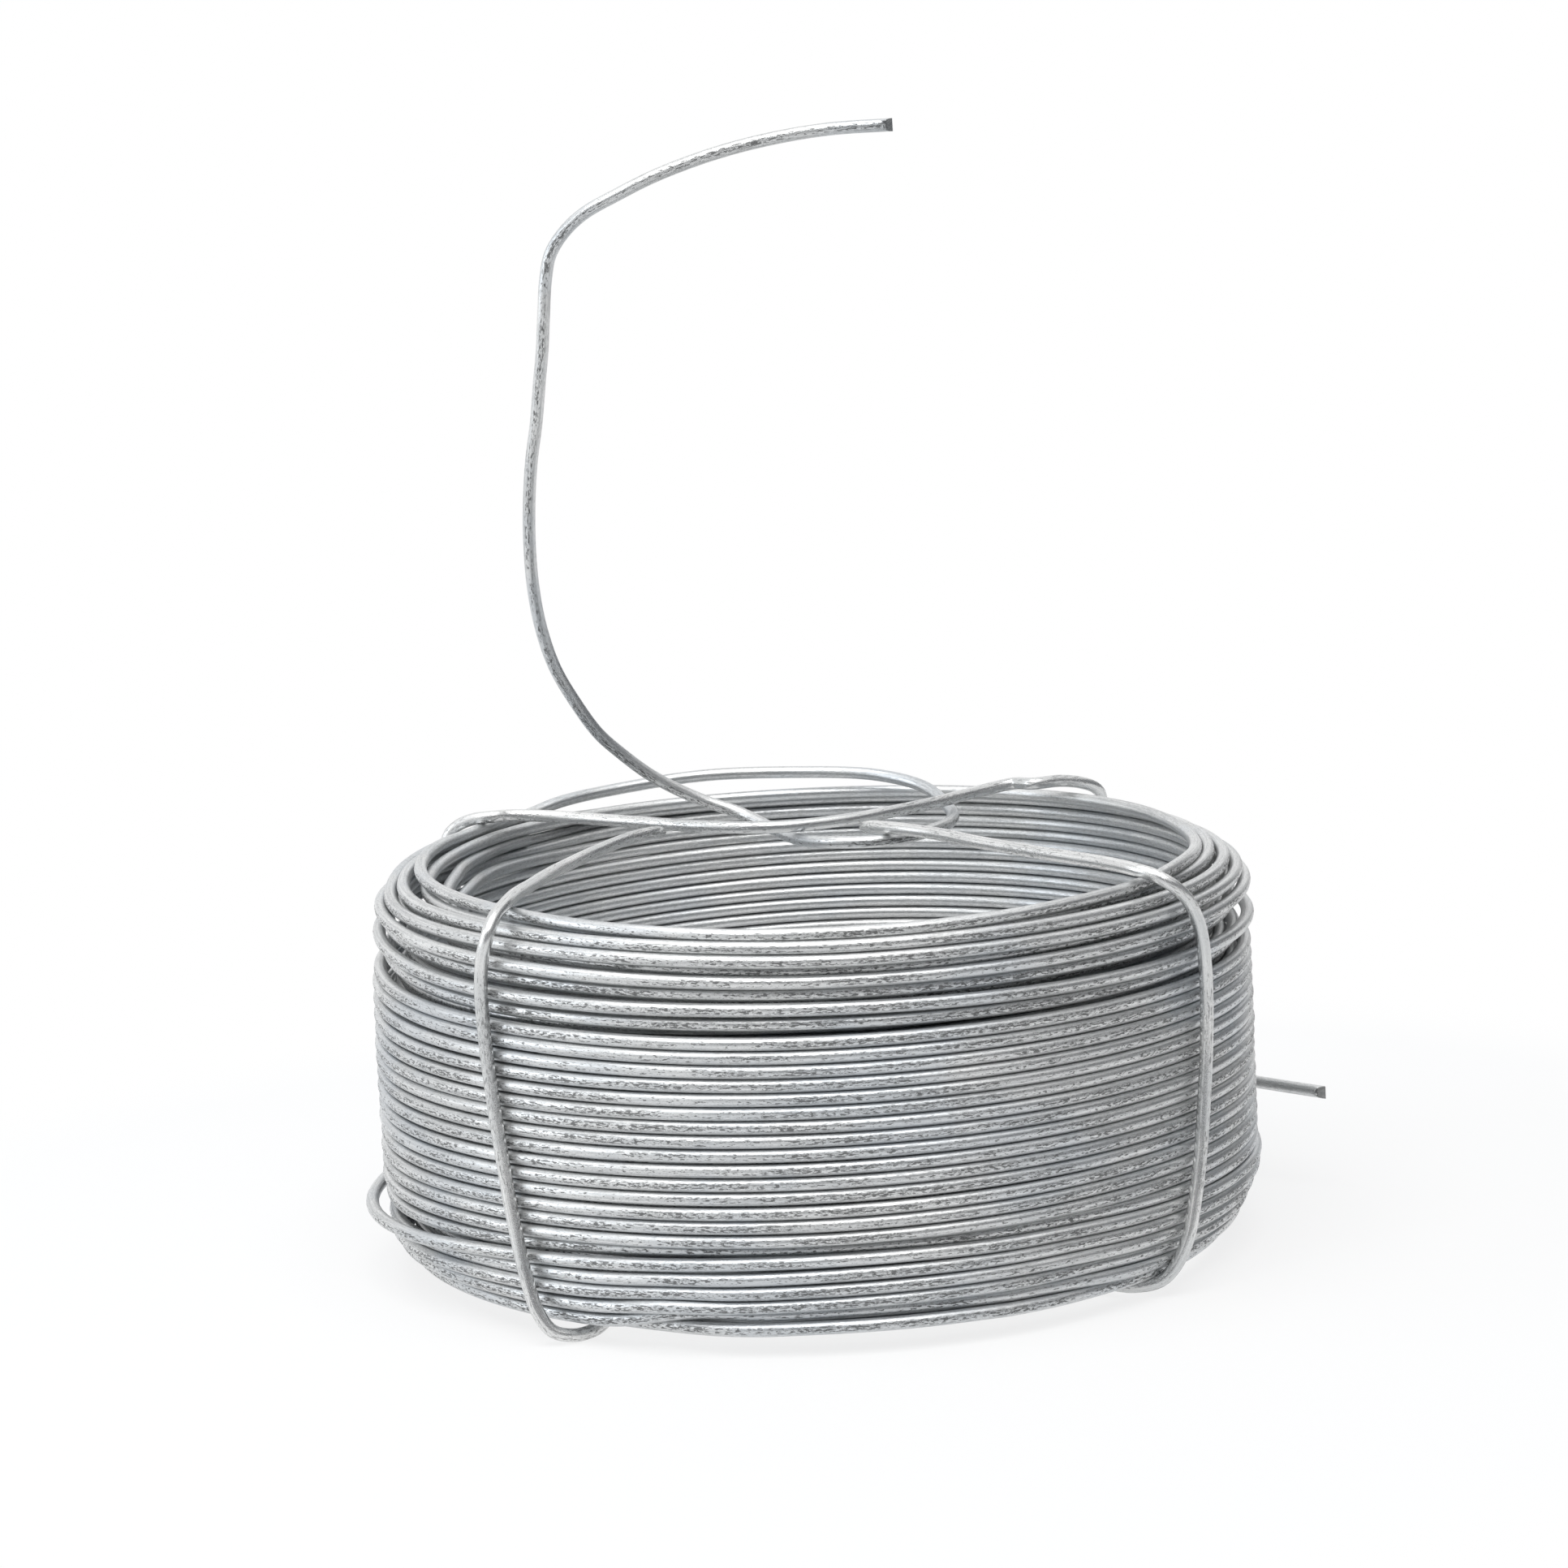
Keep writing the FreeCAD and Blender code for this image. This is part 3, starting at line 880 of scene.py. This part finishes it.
    def hidden_rows(self, layer: int, bottom: float, top: float) -> list[list[Triple]]:
        """Rows behind the outside.

        Args:
            layer: the layer they lie in, counted from the bore.
            bottom: height of the first row, in millimetres.
            top: height that no row goes above.

        Returns:
            The rows' stations.
        """
        radius = self.sizes.bore + self.sizes.wire / 2 + layer * self.layer_step
        rows = []
        for number in range(int((top - bottom) / self.pitch) + 1):
            height = bottom + number * self.pitch
            right = (90, radius - self.right_draw, height)
            rows.append([(180, radius, height), right, (0, radius, height), (-90, radius, height)])
        rows[0].insert(0, (self.seam, radius, bottom))
        return rows

    def layers(self) -> list[Layer]:
        """The four layers.

        Returns:
            The outside, the bore's side and the two between them.
        """
        rows = [self.row(number) for number in range(self.rows)]
        outside = [self.base_turn(), *self.foot, *rows, *self.crown]
        inside = [*self.hidden_rows(0, bottom=6.2, top=52.9), *self.fan]
        core_a = self.hidden_rows(1, bottom=9.0, top=49.0)
        core_b = self.hidden_rows(2, bottom=17.5, top=44.5)
        return [
            Layer("outer_turns", outside, mobility=0.2, seed=5, sides=16),
            Layer("inner_turns", inside, mobility=0.4, seed=23, sides=12),
            Layer("core_turns_a", core_a, mobility=1.0, seed=31, sides=8, stride=2),
            Layer("core_turns_b", core_b, mobility=1.0, seed=37, sides=8, stride=2),
        ]

    def build(self) -> np.ndarray:
        """Wind the layers and dress them.

        Returns:
            The last two points of the outside's wire, where the long end goes on.
        """
        layers = self.layers()
        for layer in layers:
            layer.lay(self.seam, self.steps, self.sway)
        Packing(layers, self.steps, self.sizes.wire * self.touch, self.foot_height).ease()
        sweep = WireSweep(CurveNormal.UPRIGHT)
        for number, layer in enumerate(layers):
            path = layer.path(self.seam, self.steps)
            start = self.pattern_step * number
            piece = sweep.make(layer.name, path, self.sizes.wire, layer.sides, start, self.finish)
            keep(piece, Slot.COIL_WIRE, *(["wound_coil"] if number == 0 else []))
        return layers[0].path(self.seam, self.steps)[-2:]


@dataclass
class BentWire:
    """A single bent wire with sheared ends, in millimetres."""

    sizes: CoilSizes
    finish: bpy.types.Material
    pattern_start: float = 0.0
    sides: int = 20
    step: float = 1.0
    clearance: float = 0.15
    nip: float = 34.0

    @property
    def face(self) -> float:
        """Radius of the centre line where the wire lies on the winding's wall."""
        return self.sizes.outside + self.sizes.wire / 2 + self.clearance

    def sweep(self, name: str, line: np.ndarray) -> bpy.types.Object:
        """Sweep the wire along its centre line.

        Args:
            name: the piece's name.
            line: the centre line's points.

        Returns:
            The wire with flat ends.
        """
        tree = WireSweep(CurveNormal.LEAST_TWIST)
        return tree.make(name, line, self.sizes.wire, self.sides, self.pattern_start, self.finish)

    def shear(self, piece: bpy.types.Object, tip: np.ndarray, beside: np.ndarray,
              edge: Triple | np.ndarray) -> None:
        """Give one end the faces of a side cutter.

        Args:
            piece: the swept wire.
            tip: the last point of its centre line.
            beside: the point before it.
            edge: direction of the cut's edge, across the wire.
        """
        chisel(piece, tip, tip - beside, edge, self.sizes.wire / 2, self.nip)


@dataclass
class LongEnd(BentWire):
    """The long free end: off the crown, once round over the bore, then up in an open bow."""

    pattern_start: float = 90000.0
    lead: float = 4.0
    bends: list[Triple] = field(default_factory=lambda: [
        (-40.9, 51.4, 63.2),
        (-31.2, 57.8, 63.97),
        (-17.0, 62.0, 64.82),
        (-1.5, 61.2, 64.72),
        (11.4, 57.2, 64.27),
        (19.4, 50.6, 62.87),
        (23.2, 41.0, 60.60),
        (23.0, 29.0, 60.35),
        (18.6, 17.8, 60.6),
        (12.0, 11.0, 60.7),
        (4.6, 11.6, 60.7),
        (-1.6, 18.4, 60.4),
        (-6.2, 25.2, 61.5),
        (-11.1, 30.4, 63.3),
        (-16.4, 31.0, 65.3),
        (-21.6, 30.0, 68.1),
        (-25.4, 29.0, 70.7),
        (-29.8, 28.0, 74.6),
        (-32.9, 27.0, 77.9),
        (-36.3, 26.0, 83.4),
        (-39.0, 24.5, 89.1),
        (-40.7, 23.0, 95.6),
        (-41.5, 21.0, 103.0),
        (-41.4, 18.5, 112.2),
        (-40.4, 16.0, 121.9),
        (-39.1, 14.5, 128.8),
        (-38.1, 13.0, 135.5),
        (-37.4, 12.0, 139.9),
        (-36.8, 11.3, 145.5),
        (-36.2, 11.0, 150.8),
        (-35.2, 10.5, 154.8),
        (-32.9, 10.0, 158.1),
        (-29.7, 9.5, 160.8),
        (-24.7, 9.0, 163.3),
        (-18.0, 8.5, 166.2),
        (-9.0, 8.0, 169.0),
        (-0.2, 7.5, 170.8),
        (8.6, 7.2, 171.8),
        (18.3, 7.0, 171.97),
    ])

    def build(self, joint: np.ndarray) -> None:
        """Make and dress the wire.

        Args:
            joint: the last two points of the crown, where this wire goes on.
        """
        before, start = joint
        ahead = start + (start - before) / np.linalg.norm(start - before) * self.lead
        line = smooth_line([start, ahead, *(np.array(bend) for bend in self.bends)], self.step)
        piece = self.sweep("long_end_wire", line)
        self.shear(piece, line[-1], line[-2], UP)
        keep(piece, Slot.COIL_WIRE, "long_end")


@dataclass
class ShortEnd(BentWire):
    """The short free end: along the wall at the back right, then straight off it."""

    pattern_start: float = 95000.0
    rise: float = 12.5
    leave: float = 134.0
    follows: float = 6.5
    length: float = 44.0

    def build(self) -> None:
        """Make and dress the wire."""
        height = self.sizes.bottom + self.rise
        turn = math.radians(self.leave)
        ahead = np.array([-math.cos(turn), -math.sin(turn), 0.0])
        start = around(self.face, self.leave, height)
        hidden = [around(self.face, self.leave + self.follows * share, height) for share in (1.0, 0.5)]
        straight = [start + ahead * self.length * share for share in (0, 1 / 3, 2 / 3, 1)]
        line = smooth_line([*hidden, *straight], self.step)
        piece = self.sweep("short_end_wire", line)
        self.shear(piece, line[-1], line[-2], UP)
        keep(piece, Slot.COIL_WIRE, "short_end")


@dataclass
class TieWire(BentWire):
    """The tie: four legs down the outside, two runs under the coil, a span and two hooks over it."""

    step: float = 0.8
    floor_gap: float = 0.12
    run_inward: float = 8.0
    crossing: float = 1.25

    @property
    def low(self) -> float:
        """Height of the loops that rest on the floor."""
        return self.sizes.wire / 2 + self.floor_gap

    @property
    def under(self) -> float:
        """Height of the runs just under the coil."""
        return self.sizes.bottom - self.sizes.wire / 2 - self.clearance

    @property
    def inside(self) -> float:
        """How far inside the legs' radius the runs have reached the bore."""
        return self.face - self.sizes.bore + self.run_inward

    def leg(self, *stations: Triple) -> list[np.ndarray]:
        """Points down the outside.

        Args:
            stations: azimuth, height and how far inside the legs' radius, for each point.

        Returns:
            The points.
        """
        return [around(self.face - inward, azimuth, height) for azimuth, height, inward in stations]

    def over(self, *bends: Triple) -> list[np.ndarray]:
        """Points over the bore.

        Args:
            bends: x, y and the height above the coil's top, for each point.

        Returns:
            The points.
        """
        return [np.array([x, y, self.sizes.top + height]) for x, y, height in bends]

    def front_left(self) -> list[np.ndarray]:
        """From the front left hook's cut end, over the rim and down to its foot.

        Returns:
            The points.
        """
        hook = self.over(
            (-23.6, 22.0, 0.2), (-24.4, 18.2, 0.9), (-28.2, 12.0, 1.15), (-32.8, 1.4, 1.2),
            (-37.2, -11.2, 1.25), (-39.7, -19.8, 1.35), (-41.8, -29.6, 1.55), (-43.4, -38.3, 1.9),
        )
        return hook + self.leg(
            (-44.7, 63.4, 6.0), (-43.6, 62.5, 3.1), (-43.0, 61.1, 1.2), (-43.0, 59.2, 0.2),
            (-43.6, 56.8, 0), (-44.2, 51.8, 0), (-43.8, 41.5, 0), (-42.6, 30.0, 0), (-41.0, 18.2, 0),
            (-39.2, 8.9, 0), (-37.8, 4.8, 0), (-36.4, 2.2, 0.9), (-34.8, self.low + 0.1, 3.2),
            (-34.0, self.low, 7.0), (-35.0, 1.5, 12.0),
        )

    def first_run(self) -> list[np.ndarray]:
        """Under the coil from the front left to the back right, up the back and over the rim.

        Returns:
            The points.
        """
        run = self.leg((-37.0, self.under, self.inside), (-37.0, self.under, 49.0))
        run += self.leg((143.0, self.under, 49.0), (144.0, self.under, self.inside))
        return run + self.leg(
            (144.6, 1.4, 7.0), (144.4, self.low, 3.6), (144.0, 2.4, 0.7), (143.8, 5.4, 0),
            (143.5, 18.0, 0), (142.4, 34.0, 0), (139.6, 48.0, 0), (136.6, 56.0, 0), (135.0, 59.6, 0.6),
            (134.0, 61.9, 3.2), (134.2, 63.3, 6.8), (135.2, 64.0, 10.4), (136.9, 64.1, 15.2),
        )

    def span(self) -> list[np.ndarray]:
        """The middle span, from the back right to the back left, and down that leg.

        Returns:
            The points.
        """
        span = self.over(
            (34.0, 43.6, 1.9), (27.9, 40.4, 1.35), (20.9, 33.6, 1.0), (14.3, 27.5, 0.95),
            (8.1, 22.4, 0.9), (2.2, 19.6, 0.85), (-3.7, 17.9, 0.85), (-9.6, 18.4, 0.9),
            (-15.5, 20.6, 0.95), (-25.8, 27.0, 1.1), (-34.0, 31.9, 1.3), (-41.6, 35.6, 1.6),
            (-48.0, 36.6, 1.9),
        )
        return span + self.leg(
            (-124.6, 63.8, 7.2), (-123.4, 63.4, 4.0), (-122.6, 62.3, 1.6), (-122.0, 60.6, 0.25),
            (-122.2, 58.0, 0), (-124.0, 48.0, 0), (-126.6, 34.0, 0), (-129.0, 18.0, 0), (-131.0, 5.4, 0),
            (-131.4, 2.4, 0.7), (-132.0, self.low, 3.6), (-132.4, 1.4, 7.0),
        )

    def second_run(self) -> list[np.ndarray]:
        """Under the coil from the back left to the front right, above the first run in the middle.

        Returns:
            The points.
        """
        lift = self.sizes.wire * self.crossing
        climb, crest = self.under + 0.6 * lift, self.under + lift
        run = self.leg((-134.0, self.under, self.inside), (-136.0, climb, 43.0), (-136.0, crest, 61.0))
        return run + self.leg((44.5, crest, 61.0), (44.5, climb, 43.0), (44.0, self.under, self.inside))

    def front_right(self) -> list[np.ndarray]:
        """Up from the front right foot, over the rim and in to the second hook's cut end.

        Returns:
            The points.
        """
        leg = self.leg(
            (43.6, 1.9, 9.4), (44.9, 1.75, 6.2), (47.0, 2.5, 3.2), (48.4, 4.6, 1.6),
            (49.7, 8.6, 0.3), (51.2, 14.1, 0), (52.7, 20.4, 0), (54.4, 31.0, 0), (55.4, 40.0, 0),
            (55.5, 48.0, 0), (54.6, 54.0, 0), (52.2, 58.4, 0), (51.0, 60.0, 0.3), (49.8, 61.5, 1.3),
            (49.0, 62.7, 3.4), (48.9, 63.3, 6.6),
        )
        return leg + self.over(
            (43.0, -33.6, 1.5), (37.0, -24.2, 1.25), (31.4, -16.4, 1.2), (25.7, -8.2, 1.2),
            (19.6, 1.8, 1.2), (13.4, 9.4, 1.1), (10.2, 15.0, 0.6), (9.0, 19.0, -0.1),
        )

    def build(self) -> None:
        """Make and dress the wire."""
        route = self.front_left() + self.first_run() + self.span() + self.second_run() + self.front_right()
        line = smooth_line(route, self.step)
        piece = self.sweep("tie", line)
        for tip, beside in ((line[0], line[1]), (line[-1], line[-2])):
            self.shear(piece, tip, beside, np.cross(tip - beside, UP))
        keep(piece, Slot.TIE_WIRE, "tie_wire")


@dataclass(frozen=True)
class Lamp:
    """A soft square lamp that faces the coil, in metres and watts."""

    name: str
    place: Triple
    size: float
    power: float
    colour: Triple
    aim: Triple = (0.0, 0.0, 0.04)

    def build(self) -> None:
        """Hang the lamp."""
        data = bpy.data.lights.new(self.name, "AREA")
        data.shape = "SQUARE"
        data.size = self.size
        data.energy = self.power
        data.color = self.colour
        lamp = bpy.data.objects.new(self.name, data)
        lamp.location = self.place
        lamp.rotation_mode = "QUATERNION"
        lamp.rotation_quaternion = (Vector(self.aim) - Vector(self.place)).to_track_quat("-Z", "Y")
        bpy.context.scene.collection.objects.link(lamp)


OVERHEAD = Lamp("overhead", place=(-0.15, -0.55, 1.45), size=1.5, power=21.0, colour=(1.0, 0.995, 0.985))
LEFT_FILL = Lamp("left_fill", place=(-1.7, -0.3, 0.6), size=1.0, power=7.0, colour=(0.88, 0.94, 1.0))


@dataclass
class Studio:
    """A plain pale floor, soft light and the photograph's camera, in metres."""

    lamps: tuple[Lamp, ...] = (OVERHEAD, LEFT_FILL)
    eye: Triple = (0.0, -0.701, 0.17945)
    focal_pixels: float = 5656.7
    picture_pixels: float = 1932.0
    sensor: float = 36.0
    nearest: float = 0.05
    pitch: float = 8.70
    yaw: float = -0.275
    roll: float = -2.934
    white: tuple = (1.0, 1.0, 1.0, 1.0)
    sky: tuple = (0.86, 0.92, 1.0, 1.0)
    sky_strength: float = 0.45
    paper: tuple = (0.93, 0.93, 0.93, 1.0)
    card_grey: tuple = (0.16, 0.16, 0.165, 1.0)
    floor_half: float = 6.0
    floor_glow: float = 0.79
    fade_start: float = 0.070
    fade_end: float = 0.20
    card_left: float = -1.1
    card_right: float = 1.5
    card_front: float = -1.8
    card_back: float = 2.4
    card_foot: float = 0.02
    front_card_top: float = 1.5
    right_card_top: float = 1.3

    def camera(self) -> None:
        """Put the camera where the photograph was taken from."""
        data = bpy.data.cameras.new("camera")
        data.sensor_width = self.sensor
        data.lens = data.sensor_width * self.focal_pixels / self.picture_pixels
        data.clip_start = self.nearest
        camera = bpy.data.objects.new("camera", data)
        bpy.context.scene.collection.objects.link(camera)
        pitch, yaw, roll = (math.radians(v) for v in (self.pitch, self.yaw, self.roll))
        ahead = Vector((math.sin(yaw) * math.cos(pitch), math.cos(yaw) * math.cos(pitch), -math.sin(pitch)))
        right = ahead.cross(Vector(UP)).normalized()
        up = right.cross(ahead)
        tilted_right = math.cos(roll) * right + math.sin(roll) * up
        tilted_up = math.cos(roll) * up - math.sin(roll) * right
        turn = Matrix((tilted_right, tilted_up, -ahead)).transposed()
        camera.matrix_world = Matrix.Translation(Vector(self.eye)) @ turn.to_4x4()
        bpy.context.scene.camera = camera

    def shown_directly(self, graph: Graph) -> Socket:
        """1 on rays from the camera, off metal and through glass, else 0.

        Args:
            graph: the tree that asks.

        Returns:
            The value.
        """
        path = graph.add("ShaderNodeLightPath", {}, {})
        named = {socket.link.name: socket for socket in path}
        total = named["Is Camera Ray"] + named["Is Glossy Ray"] + named["Is Transmission Ray"]
        return total.lowest(1.0)

    def world(self) -> None:
        """A white surround that lights the coil softly."""
        world = bpy.data.worlds.new("surround")
        bpy.context.scene.world = world
        graph = Graph(world)
        values = {"Color": self.sky, "Strength": self.sky_strength}
        light = graph.add("ShaderNodeBackground", {}, values)[0]
        white = graph.add("ShaderNodeBackground", {}, {"Color": self.white, "Strength": 1.0})[0]
        parts = {0: self.shown_directly(graph), 1: light, 2: white}
        mixed = graph.add("ShaderNodeMixShader", {}, parts)[0]
        graph.add("ShaderNodeOutputWorld", {}, {"Surface": mixed})

    def panel(self, name: str, corners: list[Triple], material: bpy.types.Material) -> bpy.types.Object:
        """Make one flat panel, which isn't part of the coil.

        Args:
            name: the panel's name.
            corners: its corners, in metres.
            material: its material.

        Returns:
            The panel.
        """
        mesh = bpy.data.meshes.new(name)
        mesh.from_pydata(corners, [], [tuple(range(len(corners)))])
        mesh.materials.append(material)
        panel = bpy.data.objects.new(name, mesh)
        bpy.context.scene.collection.objects.link(panel)
        return panel

    def floor(self) -> None:
        """A white floor that keeps the shadow and fades into the surround."""
        material = bpy.data.materials.new("floor_paper")
        graph = Graph(material)
        place = graph.add("ShaderNodeTexCoord", {}, {})[3]
        reach = graph.add("ShaderNodeVectorMath", {"operation": "LENGTH"}, {0: place})[1]
        values = {"Base Color": self.paper, "Roughness": 0.9}
        paper = graph.add("ShaderNodeBsdfPrincipled", {}, values)[0]
        white = graph.add("ShaderNodeEmission", {}, {"Color": self.white, "Strength": 1.0})[0]
        glow = reach.ramp(self.fade_start, self.fade_end).highest(self.floor_glow)
        parts = {0: glow * self.shown_directly(graph), 1: paper, 2: white}
        mixed = graph.add("ShaderNodeMixShader", {}, parts)[0]
        graph.add("ShaderNodeOutputMaterial", {}, {"Surface": mixed})
        half = self.floor_half
        corners = [(-half, -half, 0), (half, -half, 0), (half, half, 0), (-half, half, 0)]
        self.panel("floor", corners, material)

    def cards(self) -> None:
        """Grey cards out of the picture, which the metal mirrors as its darker bands."""
        material = bpy.data.materials.new("card_grey")
        graph = Graph(material)
        values = {"Base Color": self.card_grey, "Roughness": 1.0}
        card = graph.add("ShaderNodeBsdfPrincipled", {}, values)[0]
        graph.add("ShaderNodeOutputMaterial", {}, {"Surface": card})
        foot = self.card_foot
        front_left = (self.card_left, self.card_front)
        front_right = (self.card_right, self.card_front)
        back_right = (self.card_right, self.card_back)
        for name, start, end, top in (
            ("front_card", front_left, front_right, self.front_card_top),
            ("right_card", front_right, back_right, self.right_card_top),
        ):
            corners = [(*start, foot), (*end, foot), (*end, top), (*start, top)]
            flag = self.panel(name, corners, material)
            flag.visible_camera = False
            flag.visible_shadow = False

    def build(self) -> None:
        """Make all of it."""
        self.camera()
        self.world()
        self.floor()
        self.cards()
        for lamp in self.lamps:
            lamp.build()
        bpy.context.scene.view_settings.view_transform = "Standard"


def main() -> None:
    """Build the coil and the studio."""
    logging.basicConfig(level=logging.INFO, format="%(name)s %(message)s")
    sizes = CoilSizes.from_frame()
    coil_zinc = COIL_ZINC.build()
    joint = Winding(sizes, coil_zinc).build()
    LongEnd(sizes, coil_zinc).build(joint)
    ShortEnd(sizes, coil_zinc).build()
    TieWire(sizes, TIE_ZINC.build()).build()
    Studio().build()


if __name__ == "__main__":
    main()
